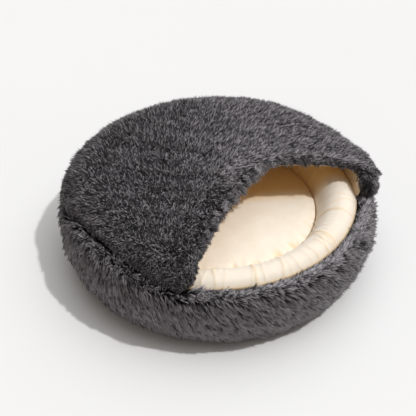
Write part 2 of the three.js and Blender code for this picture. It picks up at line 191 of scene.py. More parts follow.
# %% Helpers for materials
def linear(hex_colour):
    """A colour such as #c0ffee as linear RGBA: ((c + 0.055) / 1.055)^2.4 for each channel over 0.04."""
    channels = [int(hex_colour[k:k + 2], 16) / 255 for k in (1, 3, 5)]
    return [c / 12.92 if c <= 0.04045 else ((c + 0.055) / 1.055) ** 2.4 for c in channels] + [1.0]


def new_material(name):
    """An empty material: its name, its node tree and its output."""
    material = bpy.data.materials.new(name)
    material.use_nodes = True
    material.node_tree.nodes.clear()
    output = material.node_tree.nodes.new("ShaderNodeOutputMaterial")
    return material, material.node_tree, output


def add(tree, kind, sockets=None, **settings):
    """Adds a node. Each named socket takes a value, or a link if it is given another node's output."""
    node = tree.nodes.new("ShaderNode" + kind)
    for key, value in settings.items():
        setattr(node, key, value)
    for key, value in (sockets or {}).items():
        if isinstance(value, bpy.types.NodeSocket):
            tree.links.new(value, node.inputs[key])
        else:
            node.inputs[key].default_value = value
    return node


def ramp(tree, factor, stops):
    """A colour ramp through (place, hex colour) stops."""
    node = add(tree, "ValToRGB", {"Fac": factor})
    elements = node.color_ramp.elements
    while len(elements) < len(stops):
        elements.new(0.5)
    for element, (place, colour) in zip(elements, stops):
        element.position = place
        element.color = linear(colour)
    return node.outputs["Color"]


def noise(tree, size_mm, detail=2.0, roughness=0.5):
    """Cloudy noise on the piece's own coordinates, with features about size_mm across."""
    place = add(tree, "TexCoord").outputs["Object"]
    return add(tree, "TexNoise", {"Vector": place, "Scale": 1000 / size_mm, "Detail": detail,
                                  "Roughness": roughness}).outputs["Fac"]


# %% [markdown]
# ## Long grey pile
# Faux fur is polyester pile knitted into a backing. Light reaches only its tips, so each lock is painted
# nearly black at its root and mid grey at its tip, a painted shade, and neighbouring locks differ a
# little.
# The locks carry two values of their own, one along their length and one for each lock, and the material
# turns them into these greys. The value for each lock also carries painted light and shade, lighter or
# darker by where the lock grows. The sheen is the soft glow of fibres that are lit from the side.

# %% Long grey pile
def grey_pile_material():
    """Polyester faux fur: a grey ramp from root to tip, dark at the root as painted shade, and a lighter
    one for the bright locks.
    """
    material, tree, output = new_material("polyester_pile_grey")
    along = add(tree, "Attribute", attribute_name="along").outputs["Fac"]
    tone = add(tree, "Attribute", attribute_name="tone").outputs["Fac"]
    dark = ramp(tree, along, [(0.0, "#060506"), (0.5, "#0d0c0e"), (1.0, "#211f23")])
    light = ramp(tree, along, [(0.0, "#0e0d0e"), (0.5, "#454246"), (1.0, "#c3bdc1")])
    mixed = add(tree, "Mix", {"Factor": tone, "A": dark, "B": light}, data_type="RGBA")
    surface = add(tree, "BsdfPrincipled", {
        "Base Color": mixed.outputs["Result"],
        "Roughness": 0.5,
        "Specular IOR Level": 0.4,
        "Sheen Weight": 0.1,
        "Sheen Roughness": 0.4,
    })
    tree.links.new(surface.outputs["BSDF"], output.inputs["Surface"])
    return material


def pile_backing_material():
    """The knitted backing between the locks: nearly black, because no light gets down to it."""
    material, tree, output = new_material("knitted_pile_backing")
    colour = ramp(tree, noise(tree, 3.0), [(0.3, "#161517"), (0.7, "#232224")])
    surface = add(tree, "BsdfPrincipled", {"Base Color": colour, "Roughness": 0.95})
    tree.links.new(surface.outputs["BSDF"], output.inputs["Surface"])
    return material


grey_pile = grey_pile_material()
pile_backing = pile_backing_material()

# %% [markdown]
# ## Cream plush
# The lining is short brushed polyester plush. It looks smooth and matt, with a pale bloom where the
# light grazes it, and warm tan in the folds, where light goes from wall to wall before it gets out. That
# warmth is painted shade: a value per point, highest in the creases, the seams, under the hood and on
# the lining, mixes tan into the cream.

# %% Cream plush
def cream_plush_material():
    """Brushed plush: cream with faint cloudy shading, tan painted shade in the folds and under the hood,
    a soft nap and a pale sheen.
    """
    material, tree, output = new_material("brushed_plush_cream")
    # Painted warm shade: a value per point mixes tan into the cream
    painted_warm_shade = add(tree, "Attribute", attribute_name="painted_warm_shade").outputs["Fac"]
    cloudy = ramp(tree, noise(tree, 18.0), [(0.35, "#f3e7d5"), (0.65, "#f7ecdc")])
    warm_shaded = add(tree, "Mix", {"Factor": painted_warm_shade, "A": cloudy, "B": linear("#edbd55")}, data_type="RGBA")
    nap = add(tree, "Bump", {"Height": noise(tree, 1.6, 4.0, 0.6), "Strength": 0.25, "Distance": 0.0006})
    surface = add(tree, "BsdfPrincipled", {
        "Base Color": warm_shaded.outputs["Result"],
        "Roughness": 0.9,
        "Specular IOR Level": 0.2,
        "Sheen Weight": 0.4,
        "Sheen Roughness": 0.6,
        "Normal": nap.outputs["Normal"],
    })
    tree.links.new(surface.outputs["BSDF"], output.inputs["Surface"])
    return material


cream_plush = cream_plush_material()

# %% [markdown]
# ## Base cloth
# The underside is a plain woven polyester. Its threads are about 0.6 mm apart, far too fine to show from
# a step away, and two crossed waves of that spacing give the weave.

# %% Base cloth
THREAD_MM = 0.6


def base_cloth_material():
    """Plain weave: two crossed sets of fine bands as a bump on near-black polyester."""
    material, tree, output = new_material("woven_polyester_dark")
    place = add(tree, "TexCoord").outputs["Object"]
    bands = [
        add(tree, "TexWave", {"Vector": place, "Scale": math.pi / 10 / (THREAD_MM * MM)},
            bands_direction=axis).outputs["Fac"]
        for axis in ("X", "Y")
    ]
    weave = add(tree, "Math", {0: bands[0], 1: bands[1]}, operation="MAXIMUM").outputs["Value"]
    bump = add(tree, "Bump", {"Height": weave, "Strength": 0.3, "Distance": 0.0003})
    colour = ramp(tree, weave, [(0.0, "#2b2a2c"), (1.0, "#3d3b3e")])
    surface = add(tree, "BsdfPrincipled", {
        "Base Color": colour,
        "Roughness": 0.85,
        "Normal": bump.outputs["Normal"],
    })
    tree.links.new(surface.outputs["BSDF"], output.inputs["Surface"])
    return material


base_weave = base_cloth_material()

# %% [markdown]
# ## Sizes of the bed
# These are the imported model's driving sizes, in millimetres. The ring's top changes round the bed: low
# and wide at the back, high and narrow at the sides, where the hood pulls it up, and round at the bare
# front. A table holds it at a few azimuths and is eased between them.

# %% Sizes
TIP_R = 250
TIP_Z = 69
FLOOR_R = 217
VALLEY_R = 157.6
VALLEY_Z = 62
CUSHION_TOP = 76
WALL_R = 208
WALL_Z = 70
BASE_T = 2.6
HOOD_T = 12
LIP_T = 4
LINING_T = 2
GAP = 0.3
LINING_GAP = 0.9
JOINT_R = 219.5
JOINT_INSET = 4
JOINT_DROP = 7
THROAT_IN = 6.6
THROAT_DROP = 10

RING_TOP = np.array(
    [
        (-180, 246, 95, 231, 95, 105, 4.5),
        (-130, 245, 95.5, 230, 95.5, 105, 4.5),
        (-118, 235, 102, 220, 102, 106, 5),
        (-106, 219, 110, 208, 110, 108, 5),
        (-92, 212, 113, 204, 113, 109, 5),
        (-76, 216, 110, 207, 110, 108, 5),
        (-62, 227, 104, 215, 104, 105, 5),
        (-52, 232, 103, 221, 103, 106, 6),
        (-40, 231, 107, 225.5, 105, 111, 6),
        (0, 231, 107.5, 225.5, 105.5, 112, 6),
        (40, 231, 107, 225.5, 105, 112, 26),
        (50, 232, 103, 221, 103, 107, 30),
        (62, 232, 103, 219, 103, 106, 26),
        (76, 228, 105, 215, 105, 108, 20),
        (92, 226, 106, 213, 106, 109, 18),
        (106, 232, 103, 219, 103, 108, 16),
        (118, 240, 98, 225, 98, 106, 12),
        (130, 245, 95.5, 230, 95.5, 105, 8),
        (150, 246, 95, 231, 95, 105, 4.5),
        (180, 246, 95, 231, 95, 105, 4.5),
    ],
    dtype=[(n, float) for n in ("at", "crest_r", "crest_z", "ledge_r", "ledge_z", "roll_z", "swell")],
)


def ring_top(azimuth):
    """Every column of the table at azimuths in degrees: v0 + (v1 - v0)(3s^2 - 2s^3) between two rows.
    The joint with the plush lies 4 mm inside the ledge or at 219.5 mm, and 7 mm below the crest."""
    at = (np.asarray(azimuth, float) + 180) % 360 - 180
    row = np.clip(np.searchsorted(RING_TOP["at"], at), 1, len(RING_TOP) - 1)
    low = RING_TOP[row - 1]
    high = RING_TOP[row]
    share = smooth((at - low["at"]) / (high["at"] - low["at"]), 0, 1)
    top = {name: lerp(low[name], high[name], share) for name in RING_TOP.dtype.names}
    top["joint_r"] = np.minimum(JOINT_R, top["ledge_r"] - JOINT_INSET)
    top["joint_z"] = top["crest_z"] - JOINT_DROP
    top["inner_r"] = np.minimum(WALL_R, top["joint_r"] - THROAT_IN)
    return top


def profile(*points):
    """Profile points (r, z), each a number or an array over the azimuths, as azimuths x points x 2."""
    columns = [np.stack(np.broadcast_arrays(r, z, 0.0 * AZIMUTH), axis=-1)[:, :2] for r, z in points]
    return np.stack(columns, axis=1)


def spun(sections, azimuth):
    """Each azimuth's (r, z) section turned to its place round the bed."""
    return around(sections[..., 0], azimuth[:, None], sections[..., 1])


AZIMUTH = np.linspace(-180, 180, 361)
TOP = ring_top(AZIMUTH)

# %% [markdown]
# ## The fur ring's skin
# The ring is a stuffed tube, widest 69 mm above the floor. The table gives the surface that the tips of
# the pile reach. The backing lies a pile's height inside it, and the locks grow from there.

# %% Ring surface
PILE = 10
LUMP = 1.7
SHOULDER_TURNS = np.radians([0, 22.5, 45, 67.5])
SQUARENESS = 0.8


def clump(a, b):
    """Slow clumps of the pile, -1 to 1: 0.4 sin(.085a + .055b + 1.3) + 0.3 sin(.07a - .095b + .4)
    + 0.3 sin(.15a + .12b + 2.1)."""
    return (0.4 * np.sin(0.085 * a + 0.055 * b + 1.3) + 0.3 * np.sin(0.07 * a - 0.095 * b + 0.4)
            + 0.3 * np.sin(0.15 * a + 0.12 * b + 2.1))


def ring_outside(count):
    """The pile's reach from the foot up to the joint. The shoulder is r = crest + (250 - crest) cos^0.8,
    z = 69 + (crest - 69) sin, for a quarter turn."""
    shoulder = [
        (lerp(TOP["crest_r"], TIP_R, np.cos(turn) ** SQUARENESS),
         lerp(TIP_Z, TOP["crest_z"], np.sin(turn)))
        for turn in SHOULDER_TURNS
    ]
    side = profile(
        (FLOOR_R, 0),
        (FLOOR_R + 10.5, 9),
        (TIP_R - 13, 21),
        (TIP_R - 5, 39),
        (TIP_R - 0.6, 58),
        *shoulder,
        (TOP["crest_r"], TOP["crest_z"]),
        (TOP["ledge_r"], TOP["ledge_z"]),
        (TOP["joint_r"], TOP["joint_z"]),
    )
    section = through(side, count)
    rough = LUMP * clump(np.radians(AZIMUTH % 360)[:, None] * TIP_R, section[..., 1])
    section[..., 0] += rough * smooth(section[..., 1], 0, 20)
    return spun(section, AZIMUTH)


RING_ROWS = 67  # six steps for each stretch of the profile
ring_reach = ring_outside(RING_ROWS)
ring_normals = normals_of(ring_reach)
FOOT_ROWS = 18
pile_height = PILE * smooth(np.arange(RING_ROWS), -FOOT_ROWS / 2, FOOT_ROWS)
ring_skin = ring_reach - pile_height[:, None] * ring_normals
ring_skin[..., 2] = np.maximum(ring_skin[..., 2], 0)
print("ring skin reaches", np.abs(ring_skin[..., 0]).max().round(1), "mm from the middle")

# %% Ring backing
throat = around(TOP["inner_r"] + GAP, AZIMUTH, TOP["joint_z"] - THROAT_DROP)[:, None]
wall = around(WALL_R + GAP, AZIMUTH, WALL_Z)[:, None]
wall_foot = around(WALL_R + GAP, AZIMUTH, 0)[:, None]
ring_body = np.concatenate([ring_skin[:, ::2], throat, wall, wall_foot], axis=1)[:-1:3]
ring_backing = make_piece(
    "ring_backing",
    ring_body.reshape(-1, 3),
    [grid_faces(*ring_body.shape[:2], close_rows=True, close_columns=True)],
    pile_backing,
)
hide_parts("fur_ring")

# %% [markdown]
# ## The hood's surfaces
# The hood is one flat piece of fur, sewn to the ring along its back edge and free along its front edge,
# a wide arch. Both skins and the lining are the same surface at different depths. Lines run in from the
# rim, turn over a rounded shoulder, and then keep to a height field with a crown over the ring, a sag
# inside it, and a rise to the opening.

# %% Hood surface
ARCH = np.array([
    (-169, -134, 105), (-165, -136, 114), (-152, -128, 125), (-128, -115, 130), (-99, -102, 135),
    (-62, -87, 139), (-4, -66, 143), (43, -57, 145), (73, -61, 146), (98, -77, 146),
    (126, -99, 144), (153, -122, 139), (174, -142, 126), (182, -147, 110),
], float)
HOOD_HEIGHTS = np.array([
    (0, 206, 137), (-125, 164, 136), (125, 164, 137), (-196, 62, 134), (196, 62, 137),
    (-190, -35, 130), (196, -35, 137), (0, 130, 129), (-95, 92, 128), (95, 92, 130),
    (-125, -10, 128), (125, -5, 133), (0, 35, 131),
], float)
HEIGHT_REACH = 42
EDGE_RISE = 4
LOCK_REACH = 10
HOOD_CENTRE = np.array([15.0, 95.0])
FOOT_AZIMUTH = 55
LAST_BARE = (-53, 46)  # the bare front of the ring, in degrees, from foot to foot
TOE_R, TOE_Z, TOE_AZIMUTH = 235, 119, 48
TOE_SIZE = np.array([17.0, 28.0, 19.0])  # half its size across, along and up
NEAR_FOOT = 25  # degrees of the seam over which the section changes from a foot's
NEAR_EDGE_FOOT = 5 / 26  # the same along the free edge, as a share of it
FOOT_SHOULDER = 22
EDGE_SHOULDER = 14


def hood_height(xy):
    """The mean of the stated heights and the edge's, each weighted by exp(-d^2 / 2 reach^2)."""
    known = np.concatenate([HOOD_HEIGHTS, ARCH[2:-2] + np.array([0, 0, EDGE_RISE])])
    far = ((xy[..., None, :] - known[:, :2]) ** 2).sum(axis=-1)
    weight = np.exp(-far / (2 * HEIGHT_REACH**2)) + 1e-5
    return (weight * known[:, 2]).sum(axis=-1) / weight.sum(axis=-1)


def arch_edge(share):
    """Points of the free edge at shares of its length, and the way out over the opening square to it.
    The edge lies inside the locks' tips by 10 sin(pi s)^0.8 mm."""
    fine = through(ARCH[None], 1301)[0]
    run = np.concatenate([[0], np.cumsum(np.linalg.norm(np.diff(fine, axis=0), axis=1))])
    place = run / run[-1]

    def at(s):
        return np.stack([np.interp(np.clip(s, 0, 1), place, fine[:, k]) for k in range(3)], axis=-1)

    along = at(share + 0.03) - at(share - 0.03)
    along[:, 2] = 0
    along = unit(along)
    out = np.stack([along[:, 1], -along[:, 0], 0 * share], axis=-1)
    inset = LOCK_REACH * np.sin(math.pi * share) ** 0.8
    return at(share) - out * inset[:, None], out


SEAM_AZIMUTH = np.linspace(FOOT_AZIMUTH, 360 - FOOT_AZIMUTH, 251)
EDGE_SHARE = np.linspace(0, 1, 131)[1:-1]


def hood_skin(shares, rim="crest_r", rim_in=0, edge_drop=0, edge_in=0, depth=0, shoulder=40, swelling=1,
              lump=LUMP):
    """One skin of the hood as rim points x shares. A share up to 1 lies on the shoulder, and one from 1
    to 2 on the rest of the way to the centre. On the shoulder, q goes from 0 to 1 and the height rises
    by sqrt(1 - (1 - q)^2), while the skin bellies out over the seam by swell sin(pi (1.6 q)^0.5)."""
    seam = ring_top(SEAM_AZIMUTH)
    seam_rim = around(seam[rim] - rim_in, SEAM_AZIMUTH, seam["crest_z"] + GAP)
    from_foot = np.minimum(SEAM_AZIMUTH, 360 - SEAM_AZIMUTH) - FOOT_AZIMUTH
    seam_width = lerp(FOOT_SHOULDER, shoulder, smooth(from_foot, 0, NEAR_FOOT))
    edge_rim, out = arch_edge(EDGE_SHARE)
    near_foot = 1 - smooth(np.minimum(EDGE_SHARE, 1 - EDGE_SHARE), 0, NEAR_EDGE_FOOT)
    edge_rim = edge_rim - out * edge_in
    edge_rim[:, 2] -= edge_drop * (1 - 0.9 * near_foot)
    edge_width = lerp(EDGE_SHOULDER, FOOT_SHOULDER, near_foot)
    foot_swell = ring_top(50 * np.sign(edge_rim[:, 0]))["swell"]
    rim_points = np.concatenate([seam_rim, edge_rim])
    width = np.concatenate([seam_width, edge_width])[:, None]
    swell = np.concatenate([seam["swell"], near_foot * foot_swell])[:, None]
    run = np.concatenate([HOOD_CENTRE - rim_points[:, :2], 0 * width], axis=1)
    length = np.linalg.norm(run, axis=1, keepdims=True)
    inset = np.where(shares <= 1, shares * width, lerp(width, length, shares - 1))
    q = np.minimum(inset / width, 1)
    belly = swelling * swell * np.sin(math.pi * np.minimum(1, 1.6 * q) ** 0.5)
    skin = rim_points[:, None] + unit(run)[:, None] * (inset - belly)[..., None]
    risen = np.sqrt(1 - (1 - q) ** 2)
    rough = lump * clump(skin[..., 0], skin[..., 1]) * np.minimum(1, inset / 20)
    skin[..., 2] = lerp(rim_points[:, None, 2], hood_height(skin[..., :2]) - depth, risen) + rough
    return skin, inset


def sheet_from(name, upper, lower, material, slot, shades=None):
    """A closed sheet from two skins: joined along their rims, and each closed at the middle. Every
    second line and point of the skins is enough for a backing or a lining."""
    upper, lower = (skin[::2, ::2] for skin in (upper, lower))
    rows, columns = upper.shape[:2]
    poles = np.stack([skin[:, -1].mean(axis=0) for skin in (upper, lower)])
    points = np.concatenate([upper.reshape(-1, 3), lower.reshape(-1, 3), poles])
    half = rows * columns
    rim = np.arange(rows) * columns
    top_faces = grid_faces(rows, columns, close_rows=True)
    side = np.stack([rim + half, np.roll(rim, -1) + half, np.roll(rim, -1), rim], axis=1)
    inner = rim + columns - 1
    return make_piece(
        name,
        points,
        [top_faces, top_faces[:, ::-1] + half, side, fan_faces(inner, 2 * half),
         fan_faces(inner[::-1] + half, 2 * half + 1)],
        material,
        {shade: np.full(len(points), value) for shade, value in (shades or {}).items()},
    )


SHARES = np.concatenate([np.linspace(0, 1, 19)[:-1] ** 1.6, np.linspace(1, 1.985, 43)])
hood_reach, hood_inset = hood_skin(SHARES)
hood_normals = normals_of(hood_reach)
UNDER_SHOULDER = 26
under = dict(rim="ledge_r", edge_drop=LIP_T, edge_in=1, depth=HOOD_T, shoulder=UNDER_SHOULDER,
             swelling=0.2, lump=0)
hood_under, _ = hood_skin(SHARES, **under)

# %% Hood backing
BACKING_T = 1.5
BACKING_RIM_T = 0.6
hood_skin_top = hood_under + BACKING_T * UP
hood_skin_top[:, 0] = hood_under[:, 0] + BACKING_RIM_T * UP
hood_backing = sheet_from("hood_backing", hood_skin_top, hood_under, pile_backing, "grey_pile")
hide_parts("fur_hood")

# %% Hood lining
LINING_EDGE_IN = 4  # at the free edge the lining starts this far in and this much lower
LINING_EDGE_DROP = 5.5
lining_shapes = []
for deeper in (LINING_GAP, LINING_GAP + LINING_T):
    shape = dict(rim_in=deeper, edge_drop=LIP_T + LINING_EDGE_DROP + deeper,
                 edge_in=LINING_EDGE_IN + deeper / 2, depth=HOOD_T + deeper,
                 shoulder=UNDER_SHOULDER - deeper)
    skin, _ = hood_skin(SHARES, **{**under, **shape})
    lining_shapes.append(skin)
# The lining gets painted warm shade all over, since it lies in the hood's shade
lining = sheet_from("lining_cloth", *lining_shapes, cream_plush, "cream_plush", {"painted_warm_shade": 0.6})
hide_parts("hood_lining")

# %% Lining behind the right foot
WALL_T = 0.8
WALL_FROM, WALL_TO = 44, 68  # degrees
WALL_STEPS = 12
wall_azimuth = np.linspace(WALL_FROM, WALL_TO, 4 * WALL_STEPS + 1)
top = ring_top(wall_azimuth)
wall_line = [(top["joint_r"] - 0.6, top["joint_z"] + 0.5), (top["ledge_r"] - 1.6, top["ledge_z"] + 2),
             (top["ledge_r"] - 1.0, top["ledge_z"] + 9), (top["ledge_r"] + 1, top["ledge_z"] + 19)]
wall_out = through(np.stack([np.stack(p, axis=-1) for p in wall_line], axis=1), WALL_STEPS + 1)
wall_in = wall_out[:, ::-1] - np.array([WALL_T, 0])
wall_section = np.concatenate([wall_out, wall_in], axis=1)
wall_points = around(wall_section[..., 0], wall_azimuth[:, None], wall_section[..., 1])
rows, columns = wall_points.shape[:2]
low = np.arange(WALL_STEPS)
high = columns - 1 - low
wall_end = np.stack([low, low + 1, high - 1, high], axis=1)
# The wall gets painted warm shade all over, since it lies in shade behind the foot
lining_wall = make_piece(
    "lining_wall",
    wall_points.reshape(-1, 3),
    [grid_faces(rows, columns, close_columns=True),
     wall_end[:, ::-1], wall_end + (rows - 1) * columns],
    cream_plush,
    {"painted_warm_shade": np.full(rows * columns, 0.5)},
)

# %% [markdown]
# ## The plush roll
# The roll is a tube of plush, stuffed and sewn along both edges with its fullness gathered in. Each
# gather is a soft crease that runs across the roll, wanders a little, and dies out at the crown. The
# profile is carried round the bed and the creases are pressed into it one by one, each as an array.

# %% Plush roll
ROLL_CROWN_IN = 21
ROLL_FACE = [(1, 1), (0.76, 0.96), (0.5, 0.82), (0.26, 0.55), (0.08, 0.22)]
ROLL_COLUMNS = 840
ROLL_ROWS = 29
SLACK = 0.7


def under_hood(points):
    """How far a point of the plush lies back under the hood, where light reaches it only from other
    plush: 0.75 smooth((y + 0.7 x) from -20 mm to 30 mm)."""
    return 0.75 * smooth(points[..., 1] + 0.7 * points[..., 0], -20, 30)


def near_seam(points, r, z):
    """Warm light in a seam at radius r and height z: 0.8 exp(-(d / 4 mm)^2), d from the seam."""
    far = (np.hypot(points[..., 0], points[..., 1]) - r) ** 2 + (points[..., 2] - z) ** 2
    return 0.8 * np.exp(-far / 16)


def press_creases(azimuth, across, creases):
    """How deep the creases are at each point: the sum of depth exp(-|x / width|^1.3), where x is the
    way round from the crease's own line, faded at its ends."""
    depth = np.zeros((len(azimuth), len(across)))
    for at, deep, width, slant, start, end in creases:
        line = at + slant * (across - 0.5) + 0.35 * np.sin(9 * across + at)
        x = (azimuth[:, None] - line + 180) % 360 - 180
        fade = smooth(across, start - 0.12, start + 0.12) * (1 - smooth(across, end - 0.12, end + 0.12))
        depth += deep * np.exp(-np.abs(x / width) ** 1.3) * fade
    return depth


# Deep folds of the roll: azimuth, depth, width, slant across the roll, and where they start and end
DEEP_FOLDS = [
    (-27, 1.7, 0.7, 0.5, -0.2, 1.3),
    (-14, 1.6, 0.6, 5.6, -0.2, 1.3),
    (13, 2.0, 0.5, 5.5, -0.2, 1.3),
    (10, 1.1, 0.5, 9.0, -0.2, 1.3),
    (31, 1.3, 0.5, 4.0, -0.2, 0.9),
    (-44, 1.2, 0.7, -2.0, -0.2, 1.3),
]


def gathers():
    """Uneven creases round the roll: every 1 to 3 degrees, from the valley up or from the joint down."""
    creases = list(DEEP_FOLDS)
    at = -180.0
    while at < 178:
        from_valley = rng.random() < 0.6
        creases.append((
            at,
            rng.uniform(0.5, 1.5),
            rng.uniform(0.35, 0.7),
            rng.uniform(-3, 4),
            rng.uniform(0.3, 0.6) if from_valley else -0.2,
            1.3 if from_valley else rng.uniform(0.4, 0.75),
        ))
        at += rng.uniform(1.3, 3.4)
    return creases


def plush_roll():
    """The roll's closed section at each azimuth, with its creases pressed in along the normals."""
    azimuth = np.linspace(-180, 180, ROLL_COLUMNS + 1)
    top = ring_top(azimuth)
    crown_r = top["joint_r"] - ROLL_CROWN_IN
    flat = 0 * azimuth

    def column(r, z):
        return np.stack([r + flat, z + flat], axis=-1)

    face = [column(top["joint_r"] - SLACK, top["joint_z"]),
            column(lerp(crown_r, top["joint_r"], 0.5), lerp(top["joint_z"], top["roll_z"], 0.8))]
    face += [column(lerp(VALLEY_R, crown_r, a), lerp(VALLEY_Z, top["roll_z"], u)) for a, u in ROLL_FACE]
    face += [column(VALLEY_R, VALLEY_Z)]
    surface = spun(through(np.stack(face, axis=1), ROLL_ROWS), azimuth)
    across = np.linspace(0, 1, ROLL_ROWS)
    depth = press_creases(azimuth, across, gathers())
    ends = smooth(across, 0, 0.1) * (1 - smooth(across, 0.95, 1))
    surface -= (np.minimum(depth, 4.5) * ends)[..., None] * -normals_of(surface)
    hidden = [
        spun(column(r, z)[:, None], azimuth)
        for r, z in ((WALL_R - 2 * SLACK, BASE_T + GAP), (WALL_R - 3 * SLACK, WALL_Z),
                     (top["inner_r"] - 3 * SLACK, top["joint_z"] - THROAT_DROP))
    ]
    foot = spun(column(VALLEY_R, BASE_T + GAP)[:, None], azimuth)
    body = np.concatenate([*hidden, surface, foot], axis=1)[:-1]
    # Painted warm shade: tan in the creases, at both seams and under the hood
    painted_warm_shade = np.zeros(body.shape[:2])
    painted_warm_shade[:, 3:-1] = np.clip(depth[:-1] / 2.0, 0, 1) ** 1.5 * 0.4
    at_joint = near_seam(body, top["joint_r"][:-1, None], top["joint_z"][:-1, None])
    painted_warm_shade = np.max([painted_warm_shade, under_hood(body), near_seam(body, VALLEY_R, VALLEY_Z), at_joint], axis=0)
    return body, painted_warm_shade


roll_body, roll_warm_shade = plush_roll()
bolster = make_piece(
    "plush_bolster",
    roll_body.reshape(-1, 3),
    [grid_faces(*roll_body.shape[:2], close_rows=True, close_columns=True)],
    cream_plush,
    {"painted_warm_shade": roll_warm_shade},
)
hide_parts("plush_roll")

# %% [markdown]
# ## The cushion
# The cushion is a disc of the same plush, softly crowned. Its edge is drawn down into the seam with the
# roll, and short puckers run in from it at uneven places.

# %% Cushion
# The cushion's section: share of the radius, and height
CUSHION_SECTION = [
    (1, VALLEY_Z - 10), (0.998, VALLEY_Z + 5), (0.97, CUSHION_TOP - 5), (0.9, CUSHION_TOP - 1.6),
    (0.75, CUSHION_TOP - 0.3), (0.4, CUSHION_TOP), (0.02, CUSHION_TOP),
]
# Deep puckers of the cushion: azimuth, depth, width, and length as a share of the radius
DEEP_PUCKERS = [
    (-45, 3.2, 1.8, 0.1),
    (-31, 3.4, 1.6, 0.13),
    (-20, 3.6, 1.8, 0.12),
    (-4, 4.2, 2.0, 0.16),
    (8, 3.8, 1.8, 0.18),
]
CUSHION_COLUMNS = 480
CUSHION_ROWS = 49


def cushion_body():
    """The crowned top z(share), less puckers that are deepest near the seam, closed by a flat base."""
    azimuth = np.linspace(-180, 180, CUSHION_COLUMNS + 1)
    flat = 0 * azimuth
    section = np.stack([
        np.stack([share * (VALLEY_R - GAP) + flat, z + flat], axis=-1) for share, z in CUSHION_SECTION
    ], axis=1)
    surface = spun(through(section, CUSHION_ROWS), azimuth)
    share = np.hypot(surface[..., 0], surface[..., 1]) / VALLEY_R
    depth = np.zeros(share.shape)
    puckers = list(DEEP_PUCKERS)
    at = -180.0
    while at < 176:
        puckers.append((at, rng.uniform(0.8, 2.6), rng.uniform(0.8, 1.8), rng.uniform(0.06, 0.2)))
        at += rng.uniform(4, 13)
    for at, deep, width, length in puckers:
        x = (azimuth[:, None] - at - rng.uniform(-20, 20) * (1 - share) + 180) % 360 - 180
        depth += deep * np.exp(-np.abs(x / width) ** 1.4) * smooth(share, 1 - length, 0.97)
    soft = 0.8 * clump(0.6 * surface[..., 0] + 40, 0.6 * surface[..., 1])
    soft *= 1 - smooth(share, 0.8, 0.95)
    surface[..., 2] += soft - depth * smooth(surface[..., 2], VALLEY_Z - 10, VALLEY_Z + 3)
    foot = spun(np.stack([VALLEY_R - GAP + flat, BASE_T + GAP + flat], axis=-1)[:, None], azimuth)
    body = np.concatenate([foot, surface], axis=1)[:-1]
    # Painted warm shade: tan in the puckers, at the seam and under the hood
    painted_warm_shade = np.zeros(body.shape[:2])
    painted_warm_shade[:, 1:] = np.clip(depth[:-1] / 3.5, 0, 1) ** 1.5 * 0.4
    painted_warm_shade = np.max([painted_warm_shade, under_hood(body), near_seam(body, VALLEY_R, VALLEY_Z)], axis=0)
    return body, painted_warm_shade


disc, disc_warm_shade = cushion_body()
rows, columns = disc.shape[:2]
disc_poles = [[0, 0, disc[:, -1, 2].mean()], [0, 0, BASE_T + GAP]]
disc_points = np.concatenate([disc.reshape(-1, 3), disc_poles])
rim = np.arange(rows) * columns
cushion = make_piece(
    "round_cushion",
    disc_points,
    [grid_faces(rows, columns, close_rows=True), fan_faces(rim + columns - 1, rows * columns),
     fan_faces(rim[::-1], rows * columns + 1)],
    cream_plush,
    {"painted_warm_shade": np.append(disc_warm_shade.ravel(), [0, 0])},
)
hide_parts("cushion")

# %% Base cloth piece
base_azimuth = np.linspace(-180, 180, 145)[:-1]
base_rings = [(WALL_R - GAP, 0), (WALL_R - GAP, BASE_T)]
base_points = np.stack([around(r, base_azimuth, z) for r, z in base_rings], axis=1)
rim = np.arange(len(base_azimuth)) * 2
base_panel = make_piece(
    "base_panel",
    np.concatenate([base_points.reshape(-1, 3), [[0, 0, 0], [0, 0, BASE_T]]]),
    [grid_faces(len(base_azimuth), 2, close_rows=True), fan_faces(rim[::-1], 2 * len(rim)),
     fan_faces(rim + 1, 2 * len(rim) + 1)],
    base_weave,
)
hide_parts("base_cloth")

# %% [markdown]
# ## Growing the pile
# A lock is a closed blade of four triangles: a root, two corners across its belly, and a tip. Roots
# are scattered evenly by area over a backing. Each lock stands on the normal, leans with the flow of
# the pile, and bends towards the middle of its own clump, so that the pile breaks up into tufts with
# dark gaps between them, as brushed fur does.

# %% Helpers for pile
def scatter(grid, count):
    """Random points on a grid, even by area: a cell is drawn by its area, then a place in the cell.
    Returns the places as (row, column, share of the row, share of the column)."""
    cross = np.cross(grid[1:, 1:] - grid[:-1, :-1], grid[:-1, 1:] - grid[1:, :-1])
    area = np.linalg.norm(cross, axis=-1).ravel()
    cell = np.searchsorted(np.cumsum(area) / area.sum(), rng.random(count))
    i, j = np.divmod(np.minimum(cell, area.size - 1), grid.shape[1] - 1)
    return i, j, rng.random(count), rng.random(count)


def sample(field, place):
    """The field at scattered places: the mean of the cell's four corners, weighted by nearness."""
    i, j, s, t = place
    if field.ndim == 3:
        s = s[:, None]
        t = t[:, None]
    low = lerp(field[i, j], field[i + 1, j], s)
    high = lerp(field[i, j + 1], field[i + 1, j + 1], s)
    return lerp(low, high, t)


CLUMP_MM = 4.2
PILE_TOP = 156  # no lock reaches above this
TONE_SPREAD = 1.8
CELLS = (128, 128, 32)  # the lattice of clumps repeats after this many cells
clump_jitter = rng.random((*CELLS, 3))
clump_lean = rng.normal(size=(*CELLS, 3))
clump_tone = rng.random(CELLS)


